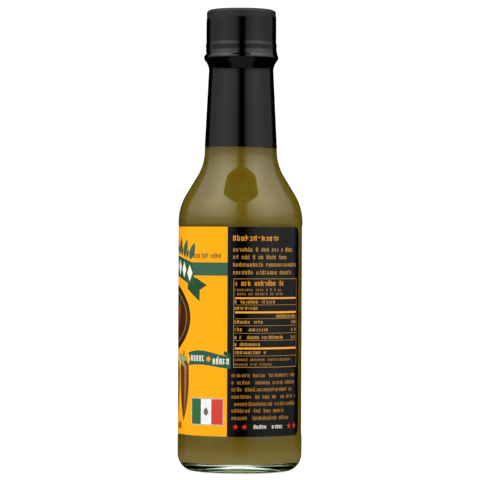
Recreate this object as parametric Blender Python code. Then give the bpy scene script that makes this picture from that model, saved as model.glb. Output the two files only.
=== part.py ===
"""A tall round glass bottle of green sauce, about 148 ml, with a wrapped label,
a small screw cap and a black shrunk film round the cap and neck.

Metres, +Z up. The origin is on the bottle's axis, in the plane that it stands on.
Every turned piece has its outline as (radius, height) points and is spun about Z.
"""

import math

import bmesh
import bpy

# Whole bottle
SIDES = 40  # flats round each turned piece
GAP = 0.0003  # clearance between pieces that rest on each other

# Body of the glass
BODY_RADIUS = 0.0235
PANEL_RADIUS = 0.0230  # the shallow panel that the label lies in
PANEL_BOTTOM = 0.0138
PANEL_TOP = 0.0926
PANEL_STEP = 0.0006  # height of the slope at each end of the panel

# Base
BEARING_INNER = 0.0150
BEARING_OUTER = 0.0170
HEEL_HEIGHT = 0.0072
PUSH_UP = 0.0018  # how far the middle of the base is raised

# Shoulder and neck
SHOULDER_START = 0.0940
SHOULDER_ROUND = 0.0200
SHOULDER_LEAN = math.radians(30.5)  # of the straight stretch, from upright
NECK_BASE = (0.01350, 0.1200)
NECK_TOP = (0.01185, 0.1512)
BEAD_RADIUS = 0.01365
BEAD_HEIGHT = 0.1562
BEAD_FILLET = 0.0060
BEAD_END = math.radians(62)  # where the bead's upper side turns in, from level

# Finish, which the cap closes
FINISH_RADIUS = 0.0110
FINISH_FOOT = 0.1588
MOUTH_HEIGHT = 0.1720
MOUTH_ROUND = 0.0008
BORE_RADIUS = 0.0075
BORE_FOOT = 0.1570

# Inside of the glass
INNER_RADIUS = 0.0207
INNER_FLOOR = 0.0038
INNER_CORNER = 0.0070
NECK_WALL = 0.0028

# Sauce
FILL_HEIGHT = 0.1400

# Cap
CAP_RADIUS = 0.01305
CAP_BOTTOM = 0.1600
CAP_TOP = 0.1745
CAP_EDGE_ROUND = 0.0015
CAP_SKIRT = 0.0015
CAP_DISC = 0.0022  # it rests on the mouth

# Film round cap and neck. Both of its edges were cut a little out of square.
FILM_THICKNESS = 0.0002
FILM_BOTTOM = 0.1222
FILM_BOTTOM_SLANT = -0.00023  # how much higher the edge is at +X than on the axis
FILM_TOP = 0.1711
FILM_TOP_SLANT = 0.00045

# Label
LABEL_THICKNESS = 0.0002
LABEL_BOTTOM = 0.0143
LABEL_TOP = 0.0921
LABEL_START = math.radians(-256)  # angles from the front, towards +X
LABEL_END = math.radians(69)
LABEL_CORNER = 0.0030
CORNER_STEPS = 4


def arc(centre, radii, start, end, steps):
    """Points on a round or elliptical arc. Angles are from +radius towards +height."""
    points = []
    for step in range(steps + 1):
        angle = start + (end - start) * step / steps
        points.append((centre[0] + radii[0] * math.cos(angle),
                       centre[1] + radii[1] * math.sin(angle)))
    return points


def offset(path, distance):
    """The path moved sideways: to its right for a positive distance."""
    moved = []
    for index, (radius, height) in enumerate(path):
        before = path[max(index - 1, 0)]
        after = path[min(index + 1, len(path) - 1)]
        normals = []
        for start, end in ((before, (radius, height)), ((radius, height), after)):
            run = (end[0] - start[0], end[1] - start[1])
            length = math.hypot(*run)
            if length > 0:
                normals.append((run[1] / length, -run[0] / length))
        across = (sum(n[0] for n in normals), sum(n[1] for n in normals))
        length = math.hypot(*across)
        across = (across[0] / length, across[1] / length)
        reach = distance / (across[0] * normals[0][0] + across[1] * normals[0][1])
        moved.append((radius + across[0] * reach, height + across[1] * reach))
    return moved


def shoulder_path():
    """Glass from the top of the body to the foot of the neck, going up."""
    lean = SHOULDER_LEAN
    taper = math.atan2(NECK_BASE[0] - NECK_TOP[0], NECK_TOP[1] - NECK_BASE[1])
    centre = (BODY_RADIUS - SHOULDER_ROUND, SHOULDER_START)
    crown = arc(centre, (SHOULDER_ROUND, SHOULDER_ROUND), 0, lean, 6)
    # The hollow round is as large as lets it meet both the slope and the neck smoothly.
    run = (NECK_BASE[0] - crown[-1][0], NECK_BASE[1] - crown[-1][1])
    clear = run[0] * math.cos(lean) + run[1] * math.sin(lean)
    hollow = clear / (1 - math.cos(lean - taper))
    centre = (NECK_BASE[0] + hollow * math.cos(taper),
              NECK_BASE[1] + hollow * math.sin(taper))
    return crown + arc(centre, (hollow, hollow), math.pi + lean, math.pi + taper, 6)


def bead_path():
    """Glass from the top of the neck over the transfer bead, going up."""
    aside = NECK_TOP[0] + BEAD_FILLET - BEAD_RADIUS
    rise = BEAD_HEIGHT - NECK_TOP[1]
    # The bead's own round is as large as lets it meet the fillet smoothly.
    bead = (aside ** 2 + rise ** 2 - BEAD_FILLET ** 2) / (2 * (BEAD_FILLET - aside))
    turn = math.atan2(rise, aside + bead)
    fillet = arc((NECK_TOP[0] + BEAD_FILLET, NECK_TOP[1]), (BEAD_FILLET, BEAD_FILLET),
                 math.pi, math.pi - turn, 4)
    crest = arc((BEAD_RADIUS - bead, BEAD_HEIGHT), (bead, bead), -turn, BEAD_END, 5)
    return fillet + crest[1:]


def glass_outside():
    """From the middle of the base up to the mouth."""
    heel = arc((BEARING_OUTER, HEEL_HEIGHT), (BODY_RADIUS - BEARING_OUTER, HEEL_HEIGHT),
               -math.pi / 2, 0, 6)
    panel = [(BODY_RADIUS, PANEL_BOTTOM - PANEL_STEP), (PANEL_RADIUS, PANEL_BOTTOM),
             (PANEL_RADIUS, PANEL_TOP), (BODY_RADIUS, PANEL_TOP + PANEL_STEP)]
    mouth = arc((FINISH_RADIUS - MOUTH_ROUND, MOUTH_HEIGHT - MOUTH_ROUND),
                (MOUTH_ROUND, MOUTH_ROUND), 0, math.pi / 2, 2)
    return ([(0, PUSH_UP), (BEARING_INNER * 0.6, PUSH_UP * 0.7), (BEARING_INNER, 0)]
            + heel + panel + shoulder_path() + bead_path()
            + [(FINISH_RADIUS, FINISH_FOOT)] + mouth)


def glass_inside():
    """The hollow's wall from its floor up to the mouth."""
    corner = arc((INNER_RADIUS - INNER_CORNER, INNER_FLOOR + INNER_CORNER),
                 (INNER_CORNER, INNER_CORNER), -math.pi / 2, 0, 5)
    wall = offset(shoulder_path() + [NECK_TOP], -NECK_WALL)
    return ([(0, INNER_FLOOR + PUSH_UP * 0.6)] + corner + wall
            + [(BORE_RADIUS, BORE_FOOT), (BORE_RADIUS, MOUTH_HEIGHT)])


def sauce_outline():
    """The filled part of the hollow, a clearance inside the wall."""
    wall = offset(glass_inside(), -GAP)
    below = [point for point in wall if point[1] < FILL_HEIGHT]
    last, following = below[-1], wall[len(below)]
    share = (FILL_HEIGHT - last[1]) / (following[1] - last[1])
    edge = last[0] + (following[0] - last[0]) * share
    return [(0, below[0][1])] + below[1:] + [(edge, FILL_HEIGHT), (0, FILL_HEIGHT)]


def cap_outside():
    """From the skirt's lower edge up and in to the middle of the disc."""
    edge = arc((CAP_RADIUS - CAP_EDGE_ROUND, CAP_TOP - CAP_EDGE_ROUND),
               (CAP_EDGE_ROUND, CAP_EDGE_ROUND), 0, math.pi / 2, 4)
    return [(CAP_RADIUS, CAP_BOTTOM)] + edge + [(0, CAP_TOP)]


def cap_outline():
    inner = CAP_RADIUS - CAP_SKIRT
    ceiling = CAP_TOP - CAP_DISC
    return [(0, ceiling), (inner, ceiling), (inner, CAP_BOTTOM)] + cap_outside()


def film_outline():
    """A skin that follows the neck, the bead and the cap's skirt."""
    rise = (FILM_BOTTOM - NECK_BASE[1]) / (NECK_TOP[1] - NECK_BASE[1])
    edge_radius = NECK_BASE[0] + (NECK_TOP[0] - NECK_BASE[0]) * rise
    core = ([(edge_radius, FILM_BOTTOM)] + bead_path()
            + [(CAP_RADIUS, CAP_BOTTOM), (CAP_RADIUS, FILM_TOP)])
    inner = offset(core, GAP)
    outer = offset(core, GAP + FILM_THICKNESS)
    return inner + outer[::-1]


def new_object(name, bm, colour, roughness, transmission=0.0):
    """An object of the bmesh, with its own material and smooth shading."""
    bmesh.ops.recalc_face_normals(bm, faces=bm.faces)
    mesh = bpy.data.meshes.new(name)
    bm.to_mesh(mesh)
    bm.free()
    mesh.shade_smooth()
    mesh.set_sharp_from_angle(angle=math.radians(30))
    material = bpy.data.materials.new(name)
    material.use_nodes = True
    shader = material.node_tree.nodes["Principled BSDF"]
    shader.inputs["Base Color"].default_value = (*colour, 1)
    shader.inputs["Roughness"].default_value = roughness
    shader.inputs["Metallic"].default_value = 0.0
    shader.inputs["Transmission Weight"].default_value = transmission
    mesh.materials.append(material)
    piece = bpy.data.objects.new(name, mesh)
    bpy.context.collection.objects.link(piece)
    return piece


def spun(outline, closed):
    """A bmesh of the outline turned about Z. A closed outline goes all round a hole."""
    bm = bmesh.new()
    points = [bm.verts.new((radius, 0, height)) for radius, height in outline]
    pairs = list(zip(points, points[1:]))
    if closed:
        pairs.append((points[-1], points[0]))
    edges = [bm.edges.new(pair) for pair in pairs]
    bmesh.ops.spin(bm, geom=points + edges, axis=(0, 0, 1), cent=(0, 0, 0),
                   angle=2 * math.pi, steps=SIDES, use_duplicate=False)
    bmesh.ops.remove_doubles(bm, verts=bm.verts, dist=1e-6)
    return bm


def make_glass():
    outline = glass_outside() + glass_inside()[::-1]
    new_object("bottle_glass", spun(outline, False), (0.86, 0.90, 0.86), 0.03, 0.9)


def make_sauce():
    new_object("sauce", spun(sauce_outline(), False), (0.16, 0.11, 0.015), 0.45)


def make_cap():
    new_object("cap", spun(cap_outline(), False), (0.012, 0.012, 0.012), 0.40)


def make_sleeve():
    bm = spun(film_outline(), True)
    edges = ((FILM_BOTTOM, FILM_BOTTOM_SLANT), (FILM_TOP, FILM_TOP_SLANT))
    for vert in bm.verts:
        for height, slant in edges:
            if abs(vert.co.z - height) < 2 * GAP:
                vert.co.z += slant * vert.co.x / math.hypot(vert.co.x, vert.co.y)
    new_object("sleeve", bm, (0.006, 0.006, 0.006), 0.12)


def label_columns():
    """(angle, lowest, highest) for each upright line of the label's mesh."""
    turn = LABEL_CORNER / PANEL_RADIUS
    columns = []
    for step in range(CORNER_STEPS + 1):
        slope = math.pi / 2 * step / CORNER_STEPS
        inset = turn * (1 - math.cos(slope))
        cut = LABEL_CORNER * (1 - math.sin(slope))
        columns.append((LABEL_START + inset, cut))
        columns.append((LABEL_END - inset, cut))
    division = 2 * math.pi / SIDES
    first = math.ceil((LABEL_START + turn) / division + 0.2)
    last = math.floor((LABEL_END - turn) / division - 0.2)
    columns += [(index * division, 0) for index in range(first, last + 1)]
    return [(angle, LABEL_BOTTOM + cut, LABEL_TOP - cut)
            for angle, cut in sorted(columns)]


def make_label():
    """A thin strip wrapped most of the way round, with round corners."""
    inner = PANEL_RADIUS + GAP
    bm = bmesh.new()
    rings = []
    for angle, low, high in label_columns():
        side, front = math.sin(angle), -math.cos(angle)
        corners = ((inner, low), (inner + LABEL_THICKNESS, low),
                   (inner + LABEL_THICKNESS, high), (inner, high))
        rings.append([bm.verts.new((radius * side, radius * front, height))
                      for radius, height in corners])
    for ring, following in zip(rings, rings[1:]):
        for index in range(4):
            other = (index + 1) % 4
            bm.faces.new((ring[index], ring[other], following[other], following[index]))
    bm.faces.new(rings[0])
    bm.faces.new(rings[-1])
    new_object("label", bm, (0.93, 0.48, 0.02), 0.35)


def main():
    for thing in list(bpy.data.objects):
        bpy.data.objects.remove(thing)
    make_glass()
    make_sauce()
    make_label()
    make_cap()
    make_sleeve()


main()
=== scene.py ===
"""The looks of a tall round bottle of green sauce: clear glass, speckled sauce,
a satin wrapped label with its print, a matt screw cap and a glossy shrunk film.

Metres, +Z up. Turned pieces have their outlines as (radius, height) points. The
label is drawn flat, as (along, height), and wrapped: along is measured on its
face from the front (-Y) towards +X.
"""

import math
import random

import bmesh
import bpy
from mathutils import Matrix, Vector


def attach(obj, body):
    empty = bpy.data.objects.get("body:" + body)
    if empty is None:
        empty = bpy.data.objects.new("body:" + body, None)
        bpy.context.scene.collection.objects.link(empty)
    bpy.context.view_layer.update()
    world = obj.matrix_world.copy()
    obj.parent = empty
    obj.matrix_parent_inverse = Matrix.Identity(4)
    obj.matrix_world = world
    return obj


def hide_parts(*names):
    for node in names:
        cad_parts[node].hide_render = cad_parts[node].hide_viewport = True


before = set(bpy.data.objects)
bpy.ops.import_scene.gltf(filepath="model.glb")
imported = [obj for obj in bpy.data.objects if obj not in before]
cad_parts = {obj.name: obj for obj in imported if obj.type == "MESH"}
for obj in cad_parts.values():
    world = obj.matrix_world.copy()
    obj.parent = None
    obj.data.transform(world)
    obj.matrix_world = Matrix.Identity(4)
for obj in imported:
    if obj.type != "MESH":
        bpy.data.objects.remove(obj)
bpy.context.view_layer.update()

BODY = "root"  # the one body that every piece rides on

# Meshes
SIDES = 240  # of a turned piece
SHARP = math.radians(32)  # edges that turn more than this stay crisp
ON_AXIS = 1e-7  # a radius below this is a pole

# Glass
BODY_RADIUS = 0.0235
PANEL_RADIUS = 0.02334  # the shallow panel that the label lies in
PANEL_BOTTOM = 0.0138
PANEL_TOP = 0.0924
PANEL_STEP = 0.0006
PANEL_FLAT = 0.00012  # keeps each step's shading to the step
BEARING_INNER = 0.0145
BEARING_OUTER = 0.0178
HEEL_HEIGHT = 0.0066
PUSH_UP = 0.0012
SHOULDER_START = 0.0940
SHOULDER_ROUND = 0.0200
SHOULDER_LEAN = math.radians(30.46)
SHOULDER_FACET = 0.0012  # the longest
SLOPE_END = (0.01619, 0.1117)  # of the shoulder's straight stretch
NECK_BASE = (0.01373, 0.1199)
NECK_TOP = (0.01215, 0.1512)
NECK_LEAN = math.atan2(NECK_BASE[0] - NECK_TOP[0], NECK_TOP[1] - NECK_BASE[1])
HOLLOW_ROUND = 0.0180  # of the curve from the slope into the neck
BEAD_RADIUS = 0.01402
BEAD_HEIGHT = 0.1562
BEAD_FILLET = 0.0060
BEAD_END = math.radians(68)
FINISH_RADIUS = 0.0111
FINISH_FOOT = 0.1586
MOUTH_HEIGHT = 0.1720
MOUTH_ROUND = 0.0008
BORE_RADIUS = 0.0075
BORE_FOOT = 0.1570
INNER_RADIUS = 0.0207
INNER_FLOOR = 0.0034
INNER_CORNER = 0.0015
FLOOR_RING = 0.35  # a ring on the hollow's flat floor, as a share of its radius
NECK_WALL = 0.0028

# Sauce
FILL_HEIGHT = 0.1400
SAUCE_BITE = 0.00006  # how far it reaches into the wall, so that no air shows
UNDERSIDE_TURN = -0.5  # its underside's normals point down by more than this
PAINTED_LIGHT_FOOT = (0.0105, 0.0045)  # painted light: heights between which it grows paler, as if lit from the white table below
PAINTED_LIGHT_SHARE = 0.42
WET_ROUGHNESS = 0.14  # where it doesn't mirror
MIRROR_FROM = 0.05  # share of the light turned back at the glass where it starts to mirror
MIRROR_FULL = 0.6

# Cap
CAP_RADIUS = 0.0131
CAP_BOTTOM = 0.1600
CAP_TOP = 0.1745
CAP_EDGE_IN = 0.0024  # how far in its rounded top edge ends
CAP_EDGE_DOWN = 0.0013  # and how far down it starts
CAP_SKIRT = 0.0015
CAP_DISC = 0.0022

# Film
FILM_THICKNESS = 0.00008
FILM_BOTTOM = 0.1222
FILM_BOTTOM_SLANT = -0.00023  # how much higher the edge is at +X than on the axis
FILM_TOP = 0.1711
FILM_TOP_SLANT = 0.00045
FILM_NOTCH_HALF = math.radians(45)  # of the open notch under the cap, at -X
FILM_LEAVES = 27  # where it leaves the bead, in degrees round the bead's section
FILM_LEAVES_NOTCH = 31  # and how many more at the notch
FILM_LEAVES_BRIDGE = 9  # and how many fewer where it bridges the gap
# Over the gap between bead and cap: radius and height, then how much further out it
# lies where it bridges the gap, and how much further in and up it lies at the notch
FILM_GAP = ((0.01352, 0.15740, 0.00010, 0.00036, 0.0003),
            (0.01349, 0.15758, 0.00009, 0.00033, 0.0006),
            (0.01346, 0.15790, 0.00009, 0.00012, 0.0007),
            (0.01330, 0.15895, 0.00006, 0.0, 0.0001),
            (0.01327, 0.15940, 0.00003, 0.0, 0.0))
# Over the cap's lower edge, its band and its skirt
FILM_CAP = ((0.01337, 0.16070), (0.01336, 0.16105), (0.01318, 0.16190), (0.01317, 0.16220),
            (0.01317, 0.16680))
FILM_TOP_RADIUS = 0.01315

# Label
LABEL_INNER = 0.023345
LABEL_OUTER = 0.02344
LABEL_BOTTOM = 0.0141
LABEL_TOP = 0.0921
LABEL_START = math.radians(-256)
LABEL_END = math.radians(69)
LABEL_CORNER = 0.0030
LABEL_CORNER_STEPS = 12
LABEL_COLUMNS = 240
YELLOW_START = math.radians(-176)  # the yellow front, between the two black panels
YELLOW_END = math.radians(-11.7)

# Refraction
GLASS_IOR = 1.52
SAUCE_IOR = 1.36
SAUCE_GLOSS_IOR = 1.35

# Camera, level with the middle of the bottle
CAMERA_DISTANCE = 1.1376
CAMERA_ASIDE = -0.00017
CAMERA_HEIGHT = 0.0872
CAMERA_ROLL = math.radians(-0.25)
CAMERA_LENS = 225
CAMERA_SENSOR = 36


def arc(centre, radii, start, end, steps):
    """Points on a round or elliptical arc. Angles are from +radius towards +height."""
    points = []
    for step in range(steps + 1):
        angle = start + (end - start) * step / steps
        points.append((centre[0] + radii[0] * math.cos(angle),
                       centre[1] + radii[1] * math.sin(angle)))
    return points


def offset(path, distance):
    """The path moved sideways: to its right for a positive distance."""
    moved = []
    for index, (radius, height) in enumerate(path):
        before = path[max(index - 1, 0)]
        after = path[min(index + 1, len(path) - 1)]
        run = (after[0] - before[0], after[1] - before[1])
        length = math.hypot(*run)
        moved.append((radius + run[1] / length * distance,
                      height - run[0] / length * distance))
    return moved


def line(start, end, steps):
    """Evenly spaced points from start to just before end."""
    return [(start[0] + (end[0] - start[0]) * step / steps,
             start[1] + (end[1] - start[1]) * step / steps) for step in range(steps)]


def refined(path, longest):
    """The path with points put in wherever it runs straight for longer."""
    fine = [path[0]]
    for start, end in zip(path, path[1:]):
        parts = max(1, math.ceil(math.dist(start, end) / longest))
        for part in range(1, parts + 1):
            fine.append((start[0] + (end[0] - start[0]) * part / parts,
                         start[1] + (end[1] - start[1]) * part / parts))
    return fine


def set_in_scene(name, data):
    thing = bpy.data.objects.new(name, data)
    bpy.context.scene.collection.objects.link(thing)
    return thing


def riding_piece(name, mesh, materials):
    """An object of the mesh, smooth but for its crisp edges, riding on the body."""
    mesh.shade_smooth()
    mesh.set_sharp_from_angle(angle=SHARP)
    for material in materials:
        mesh.materials.append(material)
    piece = set_in_scene(name, mesh)
    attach(piece, BODY)
    return piece


def turned(name, outline_at, materials, closed=False):
    """A piece spun about Z. outline_at gives the outline at an angle from +X.

    The outline runs so that the material is on its left: up the outside, down the
    inside. A closed outline goes round a skin, and an open one starts and ends on Z.
    """
    outlines = [outline_at(2 * math.pi * side / SIDES) for side in range(SIDES)]
    verts = []
    rings = []
    for row in range(len(outlines[0])):
        if outlines[0][row][0] < ON_AXIS:
            rings.append([len(verts)] * SIDES)
            verts.append(Vector((0, 0, outlines[0][row][1])))
            continue
        rings.append([len(verts) + side for side in range(SIDES)])
        for side, outline in enumerate(outlines):
            angle = 2 * math.pi * side / SIDES
            radius, height = outline[row]
            verts.append(Vector((radius * math.cos(angle), radius * math.sin(angle), height)))
    pairs = list(zip(rings, rings[1:]))
    if closed:
        pairs.append((rings[-1], rings[0]))
    faces = []
    for low, high in pairs:
        for side in range(SIDES):
            after = (side + 1) % SIDES
            corners = (low[side], low[after], high[after], high[side])
            faces.append(tuple(dict.fromkeys(corners)))
    mesh = bpy.data.meshes.new(name)
    mesh.from_pydata(verts, [], faces)
    return riding_piece(name, mesh, materials)


# Outlines

def shoulder_path():
    """Glass from the top of the body to the foot of the neck, going up."""
    crown = arc((BODY_RADIUS - SHOULDER_ROUND, SHOULDER_START),
                (SHOULDER_ROUND, SHOULDER_ROUND), 0, SHOULDER_LEAN, steps=24)
    centre = (SLOPE_END[0] + HOLLOW_ROUND * math.cos(SHOULDER_LEAN),
              SLOPE_END[1] + HOLLOW_ROUND * math.sin(SHOULDER_LEAN))
    hollow = arc(centre, (HOLLOW_ROUND, HOLLOW_ROUND), math.pi + SHOULDER_LEAN,
                 math.pi + NECK_LEAN, steps=20)
    return refined(crown + hollow, SHOULDER_FACET)


def bead_path(end=BEAD_END):
    """Glass from the top of the neck over the transfer bead, going up.

    The fillet meets the bead where the two round sections touch.
    """
    aside = NECK_TOP[0] + BEAD_FILLET - BEAD_RADIUS
    rise = BEAD_HEIGHT - NECK_TOP[1]
    bead = (aside ** 2 + rise ** 2 - BEAD_FILLET ** 2) / (2 * (BEAD_FILLET - aside))
    turn = math.atan2(rise, aside + bead)
    fillet = arc((NECK_TOP[0] + BEAD_FILLET, NECK_TOP[1]), (BEAD_FILLET, BEAD_FILLET),
                 math.pi, math.pi - turn, steps=12)
    crest = arc((BEAD_RADIUS - bead, BEAD_HEIGHT), (bead, bead), -turn, end, steps=14)
    return fillet + crest[1:]


def base_path():
    """The pushed-up middle, the bearing ring and the heel, going outwards."""
    dome = []
    steps = 8
    for step in range(steps + 1):
        radius = BEARING_INNER * step / steps
        dome.append((radius, PUSH_UP * (1 - (radius / BEARING_INNER) ** 2)))
    heel = arc((BEARING_OUTER, HEEL_HEIGHT), (BODY_RADIUS - BEARING_OUTER, HEEL_HEIGHT),
               -math.pi / 2, 0, steps=24)
    return dome + heel


def glass_inside():
    """The hollow's wall from its floor up to the mouth."""
    corner = arc((INNER_RADIUS - INNER_CORNER, INNER_FLOOR + INNER_CORNER),
                 (INNER_CORNER, INNER_CORNER), -math.pi / 2, 0, steps=24)
    wall = offset(shoulder_path() + [NECK_TOP], -NECK_WALL)
    return ([(0, INNER_FLOOR), (INNER_RADIUS * FLOOR_RING, INNER_FLOOR)]
            + corner + wall + [(BORE_RADIUS, BORE_FOOT), (BORE_RADIUS, MOUTH_HEIGHT)])


def glass_outline():
    """From the middle of the base up the outside, over the mouth and down the hollow."""
    panel = [(BODY_RADIUS, PANEL_BOTTOM - PANEL_STEP - PANEL_FLAT),
             (BODY_RADIUS, PANEL_BOTTOM - PANEL_STEP), (PANEL_RADIUS, PANEL_BOTTOM),
             (PANEL_RADIUS, PANEL_BOTTOM + PANEL_FLAT), (PANEL_RADIUS, PANEL_TOP - PANEL_FLAT),
             (PANEL_RADIUS, PANEL_TOP), (BODY_RADIUS, PANEL_TOP + PANEL_STEP),
             (BODY_RADIUS, PANEL_TOP + PANEL_STEP + PANEL_FLAT)]
    mouth = arc((FINISH_RADIUS - MOUTH_ROUND, MOUTH_HEIGHT - MOUTH_ROUND),
                (MOUTH_ROUND, MOUTH_ROUND), 0, math.pi / 2, steps=6)
    outside = (base_path() + panel + shoulder_path() + bead_path()
               + [(FINISH_RADIUS, FINISH_FOOT)] + mouth)
    return outside + glass_inside()[::-1]


def sauce_outline():
    """From the middle of the floor up to the level and in to the axis."""
    wall = offset(glass_inside(), SAUCE_BITE)
    below = [point for point in wall if point[1] < FILL_HEIGHT]
    last, following = below[-1], wall[len(below)]
    share = (FILL_HEIGHT - last[1]) / (following[1] - last[1])
    edge = last[0] + (following[0] - last[0]) * share
    return [(0, below[0][1])] + below[1:] + [(edge, FILL_HEIGHT), (0, FILL_HEIGHT)]


def cap_outline():
    """A cup, from its ceiling down the inside and up the outside to the top."""
    inner = CAP_RADIUS - CAP_SKIRT
    ceiling = CAP_TOP - CAP_DISC
    edge = arc((CAP_RADIUS - CAP_EDGE_IN, CAP_TOP - CAP_EDGE_DOWN),
               (CAP_EDGE_IN, CAP_EDGE_DOWN), 0, math.pi / 2, steps=14)
    return ([(0, ceiling), (inner, ceiling), (inner, CAP_BOTTOM), (CAP_RADIUS, CAP_BOTTOM)]
            + edge + [(0, CAP_TOP)])


def bump_at(angle, middle, half):
    """1 at the middle angle, falling smoothly to 0 a half width away."""
    away = abs((angle - middle + math.pi) % (2 * math.pi) - math.pi) / half
    return math.cos(away * math.pi / 2) ** 2 if away < 1 else 0.0


def film_outline(angle):
    """A closed skin over neck, bead and cap at an angle from +X."""
    rise = (FILM_BOTTOM - NECK_BASE[1]) / (NECK_TOP[1] - NECK_BASE[1])
    edge_radius = NECK_BASE[0] + (NECK_TOP[0] - NECK_BASE[0]) * rise
    low = FILM_BOTTOM + FILM_BOTTOM_SLANT * math.cos(angle)
    high = FILM_TOP + FILM_TOP_SLANT * math.cos(angle)
    bridge = max(math.cos(angle), 0)  # the film spans the gap under the cap most at +X
    notch = bump_at(angle, math.pi, FILM_NOTCH_HALF)
    leaves = math.radians(FILM_LEAVES + FILM_LEAVES_NOTCH * notch - FILM_LEAVES_BRIDGE * bridge)
    gap = [(radius + out * bridge - inward * notch, height + up * notch)
           for radius, height, out, inward, up in FILM_GAP]
    core = (line((edge_radius, low), NECK_TOP, steps=24) + bead_path(leaves) + gap
            + list(FILM_CAP) + [(FILM_TOP_RADIUS, high)])
    return core[::-1] + offset(core, FILM_THICKNESS)


# Node helpers

def feed(tree, made, inputs):
    """Gives a node its inputs, by name or number: values, or outputs of other nodes."""
    for key, value in inputs.items():
        if isinstance(value, bpy.types.NodeSocket):
            tree.links.new(value, made.inputs[key])
        else:
            made.inputs[key].default_value = value
    return made


def node(tree, kind, inputs=None, **settings):
    made = tree.nodes.new(kind)
    for name, value in settings.items():
        setattr(made, name, value)
    return feed(tree, made, inputs or {})


def math_node(tree, operation, first, second=None, clamp=False):
    inputs = {0: first} if second is None else {0: first, 1: second}
    return node(tree, "ShaderNodeMath", inputs, operation=operation, use_clamp=clamp).outputs[0]


def product(tree, first, *others):
    for other in others:
        first = math_node(tree, "MULTIPLY", first, other)
    return first


def ramp(tree, value, stops):
    """A colour ramp of (place, colour) stops."""
    made = node(tree, "ShaderNodeValToRGB", {0: value})
    elements = made.color_ramp.elements
    while len(elements) < len(stops):
        elements.new(0.5)
    for element, (place, colour) in zip(elements, stops):
        element.position = place
        element.color = (*colour, 1)
    return made.outputs[0]


def fading(tree, value, start, end):
    """0 at start and 1 at end, with a smooth change between."""
    return node(tree, "ShaderNodeMapRange", {"Value": value, "From Min": start, "From Max": end},
                interpolation_type="SMOOTHSTEP").outputs[0]


def mixed(tree, share, first, second):
    """The first colour, which goes over to the second, a plain one, by its share."""
    return node(tree, "ShaderNodeMix", {"Factor": share, "A": first, "B": (*second, 1)},
                data_type="RGBA").outputs["Result"]


def height_above_base(tree):
    place = node(tree, "ShaderNodeTexCoord").outputs["Object"]
    return node(tree, "ShaderNodeSeparateXYZ", {0: place}).outputs[2]


def grain(tree, scale, detail=2.0, roughness=0.5, stretch=(1, 1, 1)):
    """Noise in object space, about 0 to 1."""
    place = node(tree, "ShaderNodeTexCoord").outputs["Object"]
    place = node(tree, "ShaderNodeMapping", {"Scale": stretch, "Vector": place}).outputs[0]
    return node(tree, "ShaderNodeTexNoise", {"Scale": scale, "Detail": detail,
                                             "Roughness": roughness,
                                             "Vector": place}).outputs["Fac"]


def new_finish(name, roughness, ior=1.5, transmission=0.0, specular=0.5):
    """A new material, with its tree and its Principled shader."""
    material = bpy.data.materials.new(name)
    material.use_nodes = True
    tree = material.node_tree
    shader = feed(tree, tree.nodes["Principled BSDF"], {
        "Roughness": roughness, "IOR": ior, "Transmission Weight": transmission,
        "Specular IOR Level": specular})
    return material, tree, shader


def relief(tree, shader, height, depth, strength=1.0):
    """Bump on the shader from a height of 0 to 1, depth in metres."""
    bump = node(tree, "ShaderNodeBump", {"Strength": strength, "Distance": depth,
                                         "Height": height})
    feed(tree, shader, {"Normal": bump.outputs[0]})


# Finishes

def clear_glass():
    material, tree, shader = new_finish("clear glass", 0.0, ior=GLASS_IOR, transmission=1.0)
    tint = ramp(tree, grain(tree, 60), ((0.3, (0.93, 0.965, 0.935)), (0.7, (0.95, 0.975, 0.95))))
    feed(tree, shader, {"Base Color": tint})
    relief(tree, shader, grain(tree, 90, detail=1.0), 0.00004)
    return material


def sauce_colour(tree):
    """Fine light and dark grains, brownish smears, and painted light: paler by the glass of the
    heel, in place of the white table's light coming up through it.
    """
    grains = ramp(tree, grain(tree, 1500, detail=3.0, roughness=0.7),
                  ((0.30, (0.207, 0.142, 0.011)), (0.5, (0.238, 0.164, 0.013)),
                   (0.66, (0.264, 0.186, 0.019)), (0.78, (0.400, 0.316, 0.080))))
    smears = ramp(tree, grain(tree, 95, detail=4.0, roughness=0.6, stretch=(1, 1, 2.6)),
                  ((0.46, (0, 0, 0)), (0.66, (0.75, 0.75, 0.75))))
    smeared = mixed(tree, smears, grains, (0.250, 0.139, 0.009))
    # painted light: the colour is mixed paler towards the foot, standing in for the white table's
    # light through the heel
    low = product(tree, fading(tree, height_above_base(tree), *PAINTED_LIGHT_FOOT), PAINTED_LIGHT_SHARE)
    return mixed(tree, low, smeared, (0.41, 0.33, 0.15))


def wet_sauce(name, glance_ior, sheen, shine=(1, 1, 1), specular=0.0):
    """Thick sauce that is wet against the glass and mirrors there at a glancing angle.

    sheen is the mirror's colour. shine tints the light that it sends back elsewhere.
    """
    material, tree, shader = new_finish(name, 0.5, ior=SAUCE_GLOSS_IOR, specular=specular)
    glance = node(tree, "ShaderNodeFresnel", {"IOR": glance_ior})
    mirror = ramp(tree, glance.outputs[0], ((MIRROR_FROM, (0, 0, 0)), (MIRROR_FULL, (1, 1, 1))))
    rough = product(tree, math_node(tree, "SUBTRACT", 1.0, mirror), WET_ROUGHNESS)
    feed(tree, shader, {"Specular Tint": (*shine, 1), "Metallic": mirror, "Roughness": rough,
                        "Base Color": mixed(tree, mirror, sauce_colour(tree), sheen)})
    return material


def matt_cap_plastic():
    material, tree, shader = new_finish("matt cap plastic", 0.5, specular=0.36)
    shade = ramp(tree, grain(tree, 1500, detail=4.0), ((0.3, (0.005, 0.005, 0.005)),
                                                        (0.7, (0.008, 0.008, 0.008))))
    feed(tree, shader, {"Base Color": shade})
    relief(tree, shader, grain(tree, 3000, detail=2.0), 0.00002)
    return material


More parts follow.
